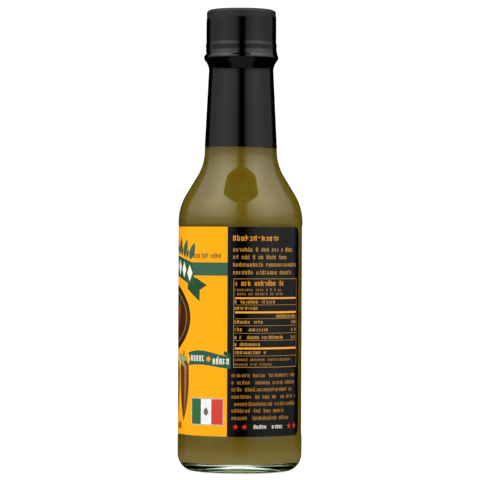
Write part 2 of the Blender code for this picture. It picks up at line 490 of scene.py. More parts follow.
def glossy_film():
    material, tree, shader = new_finish("glossy black film", 0.045)
    shade = ramp(tree, grain(tree, 400), ((0.3, (0.0004, 0.0004, 0.0004)),
                                          (0.7, (0.0009, 0.0009, 0.0009))))
    feed(tree, shader, {"Base Color": shade})
    relief(tree, shader, grain(tree, 160, detail=2.0, stretch=(1, 1, 0.5)), 0.00003, 0.5)
    return material


def printed(name, colour, roughness=0.16, spread=0.06, gloss=0.4):
    """Ink or film of one colour, with a slight mottle."""
    material, tree, shader = new_finish(name, roughness, specular=gloss)
    dark = tuple(part * (1 - spread) for part in colour)
    light = tuple(min(part * (1 + spread), 1) for part in colour)
    shade = ramp(tree, grain(tree, 700, detail=3.0), ((0.35, dark), (0.65, light)))
    feed(tree, shader, {"Base Color": shade})
    relief(tree, shader, grain(tree, 500, detail=1.0), 0.000006)
    return material


def ink(name, red, green, blue):
    """An ink by its colour on a screen, from 0 to 255."""
    return printed(name + " ink", tuple((part / 255) ** 2.2 for part in (red, green, blue)))


# Turned pieces

def make_glass():
    outline = glass_outline()
    piece = turned("clear_glass", lambda angle: outline, [clear_glass()])
    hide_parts("bottle_glass")


def make_sauce():
    outline = sauce_outline()
    side = wet_sauce("green sauce", SAUCE_IOR / GLASS_IOR, sheen=(0.94, 0.97, 0.93),
                     shine=(0.88, 0.78, 0.02), specular=0.5)
    underside = wet_sauce("green sauce underside", 1 / GLASS_IOR, sheen=(0.80, 0.87, 0.76))
    piece = turned("green_sauce", lambda angle: outline, [side, underside])
    for face in piece.data.polygons:
        if face.normal.z < UNDERSIDE_TURN and face.center.z < HEEL_HEIGHT:
            face.material_index = 1
    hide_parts("sauce")


def make_cap():
    outline = cap_outline()
    piece = turned("screw_cap", lambda angle: outline, [matt_cap_plastic()])
    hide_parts("cap")


def make_film():
    piece = turned("shrunk_film", film_outline, [glossy_film()], closed=True)
    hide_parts("sleeve")


# Label

def wrapped(along, height, radius):
    """A point of the flat label on the bottle."""
    angle = along / LABEL_OUTER
    return Vector((radius * math.sin(angle), -radius * math.cos(angle), height))


def label_columns():
    """(angle, lowest, highest) for each upright line of the label's mesh."""
    turn = LABEL_CORNER / LABEL_OUTER
    columns = {YELLOW_START: 0, YELLOW_END: 0}
    for step in range(LABEL_CORNER_STEPS + 1):
        slope = math.pi / 2 * step / LABEL_CORNER_STEPS
        inset = turn * (1 - math.cos(slope))
        cut = LABEL_CORNER * (1 - math.sin(slope))
        columns[LABEL_START + inset] = cut
        columns[LABEL_END - inset] = cut
    for step in range(1, LABEL_COLUMNS):
        angle = LABEL_START + turn + (LABEL_END - LABEL_START - 2 * turn) * step / LABEL_COLUMNS
        columns[angle] = 0
    return [(angle, LABEL_BOTTOM + cut, LABEL_TOP - cut)
            for angle, cut in sorted(columns.items())]


def make_label():
    """A closed band with round corners, yellow in front and black beside it."""
    columns = label_columns()
    verts = []
    for angle, low, high in columns:
        for radius, height in ((LABEL_INNER, low), (LABEL_OUTER, low),
                               (LABEL_OUTER, high), (LABEL_INNER, high)):
            verts.append(Vector((radius * math.sin(angle), -radius * math.cos(angle), height)))
    faces = [(0, 1, 2, 3)]
    yellow = [False]
    for column in range(len(columns) - 1):
        start = 4 * column
        middle = (columns[column][0] + columns[column + 1][0]) / 2
        for corner in range(4):
            other = (corner + 1) % 4
            faces.append((start + corner, start + 4 + corner, start + 4 + other, start + other))
            yellow.append(YELLOW_START < middle < YELLOW_END)
    last = len(verts) - 4
    faces.append((last + 3, last + 2, last + 1, last))
    yellow.append(False)
    mesh = bpy.data.meshes.new("wrapped_label")
    mesh.from_pydata(verts, [], faces)
    for face, is_yellow in zip(mesh.polygons, yellow):
        face.material_index = 0 if is_yellow else 1
    piece = riding_piece("wrapped_label", mesh, [
        printed("yellow label", (0.96, 0.385, 0.0), spread=0.02, gloss=0.15, roughness=0.3),
        printed("black label", (0.0010, 0.0009, 0.0007), spread=0.3, gloss=0.42,
                roughness=0.11),
    ])
    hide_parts("label")


# Print on the label. Each shape is a thin closed sheet that lies on the label's face.

PRINT_SUNK = 0.00001  # how far a sheet reaches into the label
PRINT_STEP = 0.000012  # thickness of one layer of print
FACET = 0.0010  # longest stretch of print that stays flat
CUT_APART = 1e-8  # corners nearer than this to a cut lie on it


def box(left, right, low, high):
    return [(left, low), (right, low), (right, high), (left, high)]


def star(centre, radius, hollow=0.42, points=5):
    corners = []
    for step in range(2 * points):
        angle = math.pi / 2 + math.pi * step / points
        reach = radius if step % 2 == 0 else radius * hollow
        corners.append((centre[0] + reach * math.cos(angle), centre[1] + reach * math.sin(angle)))
    return corners


def strip(lower, upper):
    """A band between two paths of as many points."""
    return lower + upper[::-1]


def printed_sheet(name, shapes, material, layer=0):
    """Flat shapes cut into narrow strips, thickened and wrapped on the label."""
    bm = bmesh.new()
    for shape in shapes:
        bm.faces.new([bm.verts.new((along, 0, height)) for along, height in shape])
    bm.normal_update()
    bmesh.ops.triangulate(bm, faces=bm.faces)
    left = min(vert.co.x for vert in bm.verts)
    right = max(vert.co.x for vert in bm.verts)
    for step in range(math.ceil(left / FACET), math.ceil(right / FACET)):
        bmesh.ops.bisect_plane(bm, geom=bm.verts[:] + bm.edges[:] + bm.faces[:], dist=CUT_APART,
                               plane_co=(step * FACET, 0, 0), plane_no=(1, 0, 0))
    for vert in bm.verts:
        vert.co.y = PRINT_SUNK
    raised = bmesh.ops.extrude_face_region(bm, geom=bm.faces[:])["geom"]
    for part in raised:
        if isinstance(part, bmesh.types.BMVert):
            part.co.y = -PRINT_STEP * (layer + 1)
    bmesh.ops.recalc_face_normals(bm, faces=bm.faces)
    for vert in bm.verts:
        vert.co = wrapped(vert.co.x, vert.co.z, LABEL_OUTER - vert.co.y)
    mesh = bpy.data.meshes.new(name)
    bm.to_mesh(mesh)
    bm.free()
    piece = riding_piece(name, mesh, [material])
    return piece


# Each place on a line of small print gets these strokes: uprights as (place, salt), in
# shares of the pitch, and crossbars as (lowest, highest, salt), in shares of the height.
# The salts keep the random draws apart.
UPRIGHTS = ((-0.25, 11), (0.22, 23))
CROSSBARS = ((0.30, 0.42, 37), (-0.42, 0.1, 51))
CROSSBAR_PLACE = -0.02
CROSSBAR_WIDTH = 0.62  # of the pitch
CROSSBAR_THICKNESS = 0.8  # of an upright's
MISSING_SHARE = 0.14  # of the strokes, so that the lines have the grain of print
RISING = (-0.9, 0.42)  # how much taller than the height an upright is, if above 0


def wrapped_nodes(tree, geometry, radius):
    """Flat geometry set round the label, as wrapped() sets a point."""
    place = node(tree, "GeometryNodeInputPosition").outputs[0]
    along, depth, height = node(tree, "ShaderNodeSeparateXYZ", {0: place}).outputs
    angle = math_node(tree, "DIVIDE", along, radius)
    reach = math_node(tree, "SUBTRACT", radius, depth)
    rounded = node(tree, "ShaderNodeCombineXYZ", {
        0: product(tree, reach, math_node(tree, "SINE", angle)),
        1: product(tree, reach, math_node(tree, "COSINE", angle), -1.0), 2: height})
    return node(tree, "GeometryNodeSetPosition",
                {"Geometry": geometry, "Position": rounded.outputs[0]}).outputs[0]


def marks_tree():
    """Geometry Nodes that set small strokes along lines, with gaps as between words."""
    tree = bpy.data.node_groups.new("printed marks", "GeometryNodeTree")
    kinds = {"Lines": "Geometry", "Pitch": "Float", "Stroke": "Float", "Height": "Float",
             "Depth": "Float", "Gaps": "Float", "Radius": "Float", "Seed": "Int",
             "Ink": "Material"}
    for name, kind in kinds.items():
        tree.interface.new_socket(name, in_out="INPUT", socket_type="NodeSocket" + kind)
    tree.interface.new_socket("Marks", in_out="OUTPUT", socket_type="NodeSocketGeometry")
    given = node(tree, "NodeGroupInput").outputs

    def seed(salt):
        return math_node(tree, "ADD", given["Seed"], salt)

    def chance(low, high, salt):
        """A random value for each point."""
        return node(tree, "FunctionNodeRandomValue", {2: low, 3: high, "Seed": seed(salt)},
                    data_type="FLOAT").outputs[1]

    def dropped(geometry, share, salt):
        """The points less a random share, which is a number or an input."""
        gap = node(tree, "FunctionNodeRandomValue", {"Probability": share, "Seed": seed(salt)},
                   data_type="BOOLEAN")
        return node(tree, "GeometryNodeDeleteGeometry",
                    {"Geometry": geometry, "Selection": gap.outputs[3]}, domain="POINT").outputs[0]

    def strokes(points, aside, level, wide, tall, salt):
        """Bars on the points. aside is a share of the pitch, level one of the height."""
        shift = node(tree, "ShaderNodeCombineXYZ", {0: product(tree, given["Pitch"], aside),
                                                    2: product(tree, level, given["Height"])})
        points = dropped(points, MISSING_SHARE, salt)
        moved = node(tree, "GeometryNodeSetPosition",
                     {"Geometry": points, "Offset": shift.outputs[0]})
        size = node(tree, "ShaderNodeCombineXYZ", {0: wide, 1: given["Depth"], 2: tall})
        return node(tree, "GeometryNodeInstanceOnPoints",
                    {"Points": moved.outputs[0], "Instance": bar.outputs["Mesh"],
                     "Scale": size.outputs[0]}).outputs[0]

    curves = node(tree, "GeometryNodeMeshToCurve", {"Mesh": given["Lines"]})
    places = node(tree, "GeometryNodeResampleCurve",
                  {"Curve": curves.outputs[0], "Length": given["Pitch"]}, mode="LENGTH")
    letters = dropped(places.outputs[0], given["Gaps"], 0)
    bar = node(tree, "GeometryNodeMeshCube", {"Size": (1, 1, 1)})
    bars = []
    for aside, salt in UPRIGHTS:
        extra = math_node(tree, "MAXIMUM", chance(*RISING, salt), 0.0)
        tall = product(tree, math_node(tree, "ADD", extra, 1.0), given["Height"])
        level = product(tree, extra, 0.5)
        bars.append(strokes(letters, aside, level, given["Stroke"], tall, salt + 1))
    wide = product(tree, given["Pitch"], CROSSBAR_WIDTH)
    thin = product(tree, given["Stroke"], CROSSBAR_THICKNESS)
    for low, high, salt in CROSSBARS:
        level = chance(low, high, salt)
        bars.append(strokes(letters, CROSSBAR_PLACE, level, wide, thin, salt + 1))
    joined = node(tree, "GeometryNodeJoinGeometry")
    for part in bars:
        feed(tree, joined, {0: part})
    solid = node(tree, "GeometryNodeRealizeInstances", {0: joined.outputs[0]})
    wrap = wrapped_nodes(tree, solid.outputs[0], given["Radius"])
    inked = node(tree, "GeometryNodeSetMaterial", {"Geometry": wrap, "Material": given["Ink"]})
    node(tree, "NodeGroupOutput", {0: inked.outputs[0]})
    return tree


def marks(name, tree, lines, colour, pitch, height, seed, gaps=0.15, stroke=0.00021,
          layer=0):
    """Strokes along flat lines of (left, right, height), wrapped on the label."""
    verts = []
    for left, right, level in lines:
        verts += [(left, 0, level), (right, 0, level)]
    flat = bpy.data.meshes.new(name)
    flat.from_pydata(verts, [(2 * index, 2 * index + 1) for index in range(len(lines))], [])
    holder = set_in_scene(name, flat)
    modifier = holder.modifiers.new("marks", "NODES")
    modifier.node_group = tree
    sizes = {"Pitch": pitch, "Stroke": stroke, "Height": height,
             "Depth": 2 * PRINT_STEP * (layer + 1), "Gaps": gaps, "Radius": LABEL_OUTER,
             "Seed": seed, "Ink": colour}
    for item in tree.interface.items_tree:
        if item.in_out == "INPUT" and item.name in sizes:
            modifier[item.identifier] = sizes[item.name]
    seen = holder.evaluated_get(bpy.context.evaluated_depsgraph_get())
    mesh = bpy.data.meshes.new_from_object(seen)
    bpy.data.objects.remove(holder)
    mesh.materials.clear()
    piece = riding_piece(name, mesh, [colour])
    return piece


# The black text panel: flat places in metres, and lines as (left, right, height)
TEXT_LEFT = -0.0027
HEADING_LEVEL = 0.0877
HEADING_PRINT = {"pitch": 0.00150, "height": 0.0016, "gaps": 0.0, "stroke": 0.00036}
LIST_PRINT = {"pitch": 0.00105, "height": 0.00125}
LIST_LEVELS = (0.0835, 0.0807, 0.0779, 0.0750)
LIST_ENDS = (0.0223, 0.0189, 0.0250, 0.0217)
STORY_LEVELS = (0.0368, 0.0341, 0.0315, 0.0288, 0.0261, 0.0236, 0.0209)
STORY_ENDS = (0.0242, 0.0242, 0.0223, 0.0248, 0.0242, 0.0186, 0.0202)
STAR_LEVEL = 0.0177
STAR_PLACES = (-0.0016, 0.0018, 0.0212, 0.0247)
TABLE_LEFT = -0.0025
TABLE_RIGHT = 0.0262
TABLE_LOW = 0.0398
TABLE_HIGH = 0.0729
TABLE_LINE = 0.00022  # of its frame
CELL_LEFT = TABLE_LEFT + 0.0008
VALUE_LEFT = 0.0228
VALUE_RIGHT = 0.0250
TABLE_SMALL = ((CELL_LEFT, 0.0162, 0.0686), (CELL_LEFT, 0.0170, 0.0671),
               (CELL_LEFT, 0.0215, 0.04265), (CELL_LEFT, 0.0120, 0.0409))
TABLE_ROWS = ((CELL_LEFT, 0.0133, 0.0641), (CELL_LEFT, 0.0071, 0.0618),
              (0.0146, VALUE_RIGHT, 0.0588),
              (CELL_LEFT, 0.0082, 0.0566), (VALUE_LEFT, VALUE_RIGHT, 0.0566),
              (CELL_LEFT, 0.0103, 0.0538), (VALUE_LEFT, VALUE_RIGHT, 0.0538),
              (CELL_LEFT, 0.0172, 0.0509), (VALUE_LEFT, VALUE_RIGHT, 0.0509),
              (CELL_LEFT, 0.0072, 0.0483), (CELL_LEFT, 0.0095, 0.0453))
RULE_LEFT = CELL_LEFT - 0.0002
RULE_RIGHT = 0.0257
THICK_RULES = ((0.06559, 0.00062), (0.06031, 0.00070), (0.04690, 0.00070))  # height, breadth
THIN_RULES = (0.06309, 0.05799, 0.05534, 0.05254, 0.04986, 0.04412)
THIN_BREADTH = 0.00016


def text_lines(left, ends, levels):
    return [(left, end, level) for end, level in zip(ends, levels)]


def table_rule(level, thick):
    return box(RULE_LEFT, RULE_RIGHT, level - thick / 2, level + thick / 2)


def table_frame():
    low, high = TABLE_LOW + TABLE_LINE, TABLE_HIGH - TABLE_LINE
    return [box(TABLE_LEFT, TABLE_RIGHT, TABLE_LOW, low),
            box(TABLE_LEFT, TABLE_RIGHT, high, TABLE_HIGH),
            box(TABLE_LEFT, TABLE_LEFT + TABLE_LINE, low, high),
            box(TABLE_RIGHT - TABLE_LINE, TABLE_RIGHT, low, high)]


def printed_table(tree, gold, brown):
    """A framed table with a heading, rows of a name and a value, and rules between."""
    marks("table_heading", tree, [(CELL_LEFT, 0.0172, 0.0709)], gold,
          pitch=0.00120, height=0.0015, seed=13, gaps=0.08, stroke=0.00030)
    marks("table_small", tree, TABLE_SMALL, ink("dim gold", 150, 110, 48),
          pitch=0.00082, height=0.00085, seed=21, stroke=0.00016)
    marks("table_rows", tree, TABLE_ROWS, brown,
          pitch=0.00094, height=0.00105, seed=34, gaps=0.12, stroke=0.00024)
    printed_sheet("table_thick_rules", [table_rule(*rule) for rule in THICK_RULES],
                  ink("bright gold", 236, 160, 52))
    thin = [table_rule(level, THIN_BREADTH) for level in THIN_RULES]
    printed_sheet("table_thin_rules", thin + table_frame(), ink("thin gold", 168, 120, 50))


def printed_text_panel(tree):
    gold = ink("gold", 214, 140, 40)
    brown = ink("brown gold", 186, 134, 60)
    marks("panel_heading", tree, [(TEXT_LEFT + 0.0005, 0.0149, HEADING_LEVEL)], gold,
          seed=3, **HEADING_PRINT)
    marks("panel_list", tree, text_lines(TEXT_LEFT + 0.0004, LIST_ENDS, LIST_LEVELS), brown,
          seed=5, **LIST_PRINT)
    marks("panel_story", tree, text_lines(TEXT_LEFT, STORY_ENDS, STORY_LEVELS),
          ink("story", 172, 118, 48), pitch=0.00098, height=0.00118, seed=8, stroke=0.00018)
    printed_table(tree, gold, brown)
    printed_sheet("panel_stars", [star((along, STAR_LEVEL), 0.00125) for along in STAR_PLACES],
                  ink("red", 200, 50, 30))
    marks("panel_strip", tree, [(0.0056, 0.0172, 0.0176)], ink("cream", 236, 230, 214),
          pitch=0.00100, height=0.0012, seed=55, gaps=0.1)


# The yellow front. Tail and chillies are placed by (along, height) from its middle.
FRONT_MIDDLE = -0.0384
FRONT_LEFT = YELLOW_START * LABEL_OUTER
FRONT_RIGHT = YELLOW_END * LABEL_OUTER
BELT_LOW = 0.0739
BELT_HIGH = 0.0788
BANNER_HALF = 0.0185  # half its length
BANNER_LOW = 0.0739  # in the middle, where it is highest
BANNER_HIGH = 0.0814
BANNER_LOW_DROOP = 0.0044  # how far its lower edge drops towards its ends
BANNER_HIGH_DROOP = 0.0029
BANNER_SPLAY = (0.0017, -0.0012)  # how much longer than that half its two edges are
BANNER_BORDER = 0.0005
BANNER_TAIL = ((0.0160, 0.0735), (0.0205, 0.0729), (0.0254, 0.0703), (0.0220, 0.0685),
               (0.0219, 0.0643), (0.0148, 0.0690))
LEAVES_ASIDE = 4  # on each side of the middle one
LEAF_PITCH = 0.0041
LEAF_FAN = 6  # degrees from one leaf to the next
LOZENGE_HALF = (0.0017, 0.0031)
MEDALLION = (FRONT_MIDDLE, 0.0580)
MEDALLION_HALF = (0.0169, 0.0127)
MEDALLION_RIM = 0.0013
MEDALLION_RING = 0.0023  # how far in from its edge the thin ring lies
# (along, height, turn from level in degrees). In the medallion, heights are from its middle
MEDALLION_PODS = ((-0.0076, 0.0044, -76), (-0.0026, 0.0062, -84), (0.0028, 0.0062, -96),
                  (0.0078, 0.0044, -104))
HANGING_PODS = ((-0.0122, 0.0420, -94), (-0.0041, 0.0405, -91), (0.0041, 0.0405, -89),
                (0.0122, 0.0420, -86))
SPRAY_FOOT = (0.0070, 0.0440)
RIBBON = (-0.0228, -0.0035)
RIBBON_LOW = 0.0402
RIBBON_HIGH = 0.0450
RIBBON_NOTCH = (0.0016, 0.0427)  # how deep, and its height
RIBBON_FOLD = ((-0.0062, 0.0446), (-0.0036, 0.0436), (-0.0036, 0.0450), (-0.0060, 0.0459))
FLAG = (-0.0202, -0.0064, 0.0185, 0.0279)  # left, right, low, high
FLAG_MARGIN = 0.0003
FLAG_FIELDS = (("green", (48, 100, 55)), ("white", (228, 232, 236)), ("red", (204, 62, 48)))


def banner_edge(height, droop, half, steps=24):
    """One long edge of the banner, which droops towards both ends."""
    places = [half * (2 * step / steps - 1) for step in range(steps + 1)]
    return [(FRONT_MIDDLE + along, height - droop * (along / BANNER_HALF) ** 2)
            for along in places]


def banner_outline(inset=0.0):
    lower, upper = (BANNER_HALF + more - inset for more in BANNER_SPLAY)
    return strip(banner_edge(BANNER_LOW + inset, BANNER_LOW_DROOP, lower),
                 banner_edge(BANNER_HIGH - inset, BANNER_HIGH_DROOP, upper))


def banner_tail(side):
    """The folded end behind the banner: side is 1 towards the text panel, else -1."""
    return [(FRONT_MIDDLE + side * along, height) for along, height in BANNER_TAIL]


def turned_flat(outline, foot, turn):
    """The flat outline turned about its origin and moved to the foot."""
    return [(foot[0] + x * math.cos(turn) - y * math.sin(turn),
             foot[1] + x * math.sin(turn) + y * math.cos(turn)) for x, y in outline]


def leaf(foot, length, turn, plump, steps=10):
    """A pointed leaf from its foot, at turn from level, broadest before its middle."""
    lower, upper = [], []
    for step in range(1, steps):
        share = step / steps
        half = plump * length * math.sin(math.pi * share ** 0.8) * 0.5
        lower.append((length * share, -half))
        upper.append((length * share, half))
    return turned_flat([(0, 0)] + lower + [(length, 0)] + upper[::-1], foot, turn)


def pod(foot, length, turn, bend, thick, sides=(-1, 1), start=0.0, steps=18):
    """A curved chilli pod that thins to its tip. sides picks a part of its breadth."""
    edges = []
    for side in sides:
        edge = []
        for step in range(steps + 1):
            share = start + (1 - start) * step / steps
            swell = min(1, 0.62 + share * 3.5)  # it is a little narrower at its foot
            half = thick / 2 * (1 - share ** 3.2) * swell
            edge.append((length * share, bend * share ** 2 + side * half))
        edges.append(edge)
    return turned_flat(strip(edges[0], edges[1][:-1]), foot, turn)


def pod_cap(foot, turn, thick):
    """The green cap and bent stalk behind a pod's foot."""
    half = thick * 0.36
    return turned_flat([(0, -half), (0, half), (-0.0009, half * 0.9), (-0.0016, 0.0005),
                        (-0.0034, 0.0010), (-0.0036, 0.0002), (-0.0016, -0.0005),
                        (-0.0009, -half * 0.9)], foot, turn)


def oval(centre, half_wide, half_tall, steps=72):
    return [(centre[0] + half_wide * math.cos(2 * math.pi * step / steps),
             centre[1] + half_tall * math.sin(2 * math.pi * step / steps))
            for step in range(steps)]


def oval_ring(centre, half_wide, half_tall, thick, steps=72):
    """Quarters of a flat oval ring."""
    parts = []
    quarter = steps // 4
    for first in range(0, steps, quarter):
        angles = [2 * math.pi * (first + step) / steps for step in range(quarter + 1)]
        edges = [[(centre[0] + (half_wide - less) * math.cos(angle),
                   centre[1] + (half_tall - less) * math.sin(angle)) for angle in angles]
                 for less in (0, thick)]
        parts.append(strip(*edges))
    return parts


def ribbon_outline(steps=24):
    """A ribbon in one slow wave, notched at its left end."""
    left, right = RIBBON
    lower, upper = [], []
    for step in range(steps + 1):
        share = step / steps
        along = left + (right - left) * share
        sag = 0.0006 * math.sin(1.4 * math.pi * share) - 0.0003 * share
        lower.append((along, RIBBON_LOW + sag))
        upper.append((along, RIBBON_HIGH + 0.0010 * math.sin(1.5 * math.pi * share)))
    return [(left + RIBBON_NOTCH[0], RIBBON_NOTCH[1])] + strip(lower, upper)


def printed_banner(green, deep, cream):
    """The belt and the banner over it, with lozenges on the banner and leaves above."""
    printed_sheet("front_belt", [box(FRONT_LEFT, FRONT_RIGHT, BELT_LOW, BELT_HIGH)], green)
    printed_sheet("banner_tails", [banner_tail(1), banner_tail(-1)], deep)
    printed_sheet("banner_border", [banner_outline()], deep, 1)
    printed_sheet("front_banner", [banner_outline(BANNER_BORDER)], ink("banner", 40, 82, 56), 2)
    wide, tall = LOZENGE_HALF
    middle_droop = (BANNER_LOW_DROOP + BANNER_HIGH_DROOP) / 2
    lozenges, leaves, small_leaves = [], [], []
    for step in range(-LEAVES_ASIDE, LEAVES_ASIDE + 1):
        along = step * LEAF_PITCH
        droop = (along / BANNER_HALF) ** 2
        middle = (FRONT_MIDDLE + along, (BANNER_LOW + BANNER_HIGH) / 2 - middle_droop * droop)
        lozenges.append([(middle[0] + wide * math.cos(math.pi / 2 * corner),
                          middle[1] + tall * math.sin(math.pi / 2 * corner))
                         for corner in range(4)])
        foot = (FRONT_MIDDLE + along, BANNER_HIGH + 0.0006 - BANNER_HIGH_DROOP * droop)
        turn = 90 - step * LEAF_FAN
        leaves.append(leaf(foot, 0.0072, math.radians(turn), plump=0.42))
        if step < LEAVES_ASIDE:
            foot = (foot[0] + LEAF_PITCH / 2, foot[1] - 0.0001 * step)
            turn -= LEAF_FAN / 2
            small_leaves.append(leaf(foot, 0.0036, math.radians(turn), plump=0.36))
    printed_sheet("banner_lozenges", lozenges, cream, 3)
    printed_sheet("front_leaves", leaves, green)
    printed_sheet("front_small_leaves", small_leaves, deep)


def chillies(places, middle, length, bend, breadth, **part):
    """Pods that bend towards the middle, and their caps."""
    pods, caps = [], []
    for along, height, turn in places:
        foot = (middle[0] + along, middle[1] + height)
        inward = bend if along < 0 else -bend
        pods.append(pod(foot, length, math.radians(turn), inward, breadth, **part))
        caps.append(pod_cap(foot, math.radians(turn), breadth))
    return pods, caps


def printed_medallion(green, dark, tan):
    """A dark oval in a rim and a thin ring, with dried chillies on it."""
    wide, tall = MEDALLION_HALF
    printed_sheet("medallion_rim", [oval(MEDALLION, wide, tall)], dark)
    printed_sheet("medallion_field", [oval(MEDALLION, wide - MEDALLION_RIM, tall - MEDALLION_RIM)],
                  ink("medallion", 68, 41, 17), 1)
    printed_sheet("medallion_ring", oval_ring(MEDALLION, wide - MEDALLION_RING,
                                              tall - MEDALLION_RING, 0.0005), tan, 2)
    pods, caps = chillies(MEDALLION_PODS, MEDALLION, 0.0118, bend=0.0020, breadth=0.0038)
    printed_sheet("medallion_pods", pods, ink("dried chilli", 140, 62, 30), 2)
    printed_sheet("medallion_caps", caps, green, 2)


def printed_hanging_chillies(deep, tan):
    """Large chillies in a row, each with a lit side, and sprays of leaves between."""
    middle = (FRONT_MIDDLE, 0)
    bodies, caps = chillies(HANGING_PODS, middle, 0.0228, bend=0.0016, breadth=0.0072)
    lit = chillies(HANGING_PODS, middle, 0.0205, bend=0.00128, breadth=0.0064,
                   sides=(0.1, 0.55), start=0.08)[0]
    printed_sheet("hanging_pods", bodies, ink("chilli brown", 92, 56, 24))
    printed_sheet("hanging_pods_light", lit, tan, 1)
    printed_sheet("hanging_caps", caps, deep)
    spray = []
    for side, turn in ((1, -14), (1, -34), (-1, -146), (-1, -166)):
        foot = (FRONT_MIDDLE + side * SPRAY_FOOT[0], SPRAY_FOOT[1])
        spray.append(leaf(foot, 0.0094, math.radians(turn), plump=0.22))
    printed_sheet("spray_leaves", spray, ink("pale green", 150, 160, 104), 1)


def printed_ribbon(tree, deep, cream):
    printed_sheet("ribbon_fold", [RIBBON_FOLD], deep)
    printed_sheet("front_ribbon", [ribbon_outline()], ink("teal", 36, 86, 70), 1)
    printed_sheet("ribbon_star", [star((-0.0123, 0.0428), 0.0012, hollow=0.55, points=8)],
                  ink("orange", 250, 150, 36), 2)
    marks("ribbon_marks", tree, [(-0.0204, -0.0146, 0.0430), (-0.0100, -0.0046, 0.0420)], cream,
          pitch=0.00120, height=0.0022, seed=64, gaps=0.0, stroke=0.00034, layer=2)


def printed_flag():
    """Three fields with a plain leaf on the middle one."""
    left, right, low, high = FLAG
    third = (right - left) / 3
    border = box(left - FLAG_MARGIN, right + FLAG_MARGIN, low - FLAG_MARGIN, high + FLAG_MARGIN)
    printed_sheet("flag_border", [border], ink("grey", 168, 178, 184))
    edges = (left, left + third, right - third, right)
    for start, end, (name, colour) in zip(edges, edges[1:], FLAG_FIELDS):
        printed_sheet("flag_" + name, [box(start, end, low, high)],
                      ink("flag " + name, *colour), 1)
    printed_sheet("flag_mark", [leaf((-0.0133, 0.0217), 0.0032, math.radians(90), plump=0.62)],
                  ink("olive", 112, 96, 66), 2)


def printed_front(tree):
    green = ink("green", 53, 92, 68)
    deep = ink("deep green", 30, 72, 42)
    cream = ink("pale", 240, 234, 218)
    dark = ink("dark brown", 52, 32, 14)
    tan = ink("tan", 166, 108, 56)
    printed_banner(green, deep, cream)
    printed_medallion(green, dark, tan)
    printed_hanging_chillies(deep, tan)
    printed_ribbon(tree, deep, cream)
    printed_flag()
    marks("front_small", tree, [(-0.0194, -0.0078, 0.0811)], deep,
          pitch=0.00125, height=0.0016, seed=95, gaps=0.0, stroke=0.00030)
    marks("front_foot", tree, [(-0.0478, -0.0290, 0.0172)], dark,
          pitch=0.00190, height=0.0022, seed=91, gaps=0.1, stroke=0.00052)


# The far black panel
FAR_MARGIN = 0.0032
FAR_LEFT = LABEL_START * LABEL_OUTER + FAR_MARGIN
FAR_RIGHT = FRONT_LEFT - FAR_MARGIN
FAR_LINES = 12
FAR_TOP = 0.0835
FAR_LEADING = 0.0028
FAR_RULES = ((0.0482, 0.0487), (0.0216, 0.0221))
BAR_FIELD = (FAR_LEFT + 0.0030, FAR_RIGHT - 0.0030, 0.0250, 0.0450)
BAR_WIDTHS = (0.00025, 0.0004, 0.0006)
BAR_GAPS = (0.0003, 0.00045, 0.0007)
BAR_SEED = 12


def bars():
    """Upright bars of random width that hold no number."""
    draws = random.Random(BAR_SEED)
    left, right, low, high = BAR_FIELD
    shapes = []
    along = left + 0.0012
    while along < right - 0.0018:
        wide = draws.choice(BAR_WIDTHS)
        shapes.append(box(along, along + wide, low + 0.0016, high - 0.0012))
        along += wide + draws.choice(BAR_GAPS)
    return shapes


def printed_far_panel(tree):
    """Headings, lines and a plain bar pattern, none of which can be read."""
    gold = ink("far gold", 214, 140, 40)
    marks("far_heading", tree, [(FAR_LEFT, FAR_LEFT + 0.0170, HEADING_LEVEL)], gold,
          seed=103, **HEADING_PRINT)
    lines = []
    for number in range(FAR_LINES):
        ragged = 0.0012 * ((number * 5) % 4)
        lines.append((FAR_LEFT, FAR_RIGHT - ragged, FAR_TOP - number * FAR_LEADING))
    marks("far_lines", tree, lines, ink("far brown gold", 186, 134, 60), seed=107, **LIST_PRINT)
    printed_sheet("far_rules", [box(FAR_LEFT, FAR_RIGHT, *rule) for rule in FAR_RULES], gold)
    printed_sheet("bar_field", [box(*BAR_FIELD)], ink("white", 240, 238, 232))
    printed_sheet("bars", bars(), ink("black", 14, 14, 13), 1)


# Floor and back light
FLOOR_HALF = 4.0
FLOOR_BELOW = 0.00002  # how far it lies under the bottle's foot
FLOOR_SHADE = 0.25
FLOOR_GLOW = 0.8
BACK_LIGHT_SIZE = (1.6, 1.0)
BACK_LIGHT_PLACE = (0, 1.3, 0.9)
BACK_LIGHT_TILT = math.radians(-58)
BACK_LIGHT_POWER = 14

# The light tent, as directions on a sphere of radius 1. Of a pair of values, a thing is
# dark at the first and at its full at the second.
# The tent's light by the angle from the camera's side round to the back
TENT_ROUND = ((0, 0.0), (7, 0.0), (15, 0.42), (25, 0.64), (36, 0.78), (58, 0.92), (82, 0.67),
              (101, 0.47), (120, 0.38), (180, 0.32))
# and by the angle of elevation
TENT_RISE = ((-90, 0.0), (-9, 0.0), (-4, 0.085), (-2, 0.115), (0, 0.14), (4, 0.158),
             (8, 0.183), (11, 0.28), (15, 0.36), (27, 0.45), (38, 0.55), (61, 0.63),
             (72, 1.0), (90, 1.0))
TENT_BRIGHTEST = 5.6
TENT_TURN = 0.045  # towards +X, in radians
TENT_BACK = (0.65, 0.41)  # y at its far end
OPENING_HALF = 0.46  # the dark opening above the camera: half its width, in x
OPENING_LOW = math.radians(41)
OPENING_WIDE = math.radians(58)  # from here up it is at its widest
OPENING_TOP = (math.radians(70) - 0.05, math.radians(70) + 0.05)
OPENING_EDGE = 0.02
OPENING_BACK = (0.0, 0.15)
TABLE_GLOW = 0.22  # the dim table in front
TABLE_DROP = (-0.10, -0.25)
TABLE_SIDES = (0.76, 0.58)
TABLE_TAPER = 0.225  # how much narrower it is for each unit of z further down
TABLE_BACK = (0.6, 0.2)
TABLE_LIGHT = 1.25  # what the white table sends up into the sauce
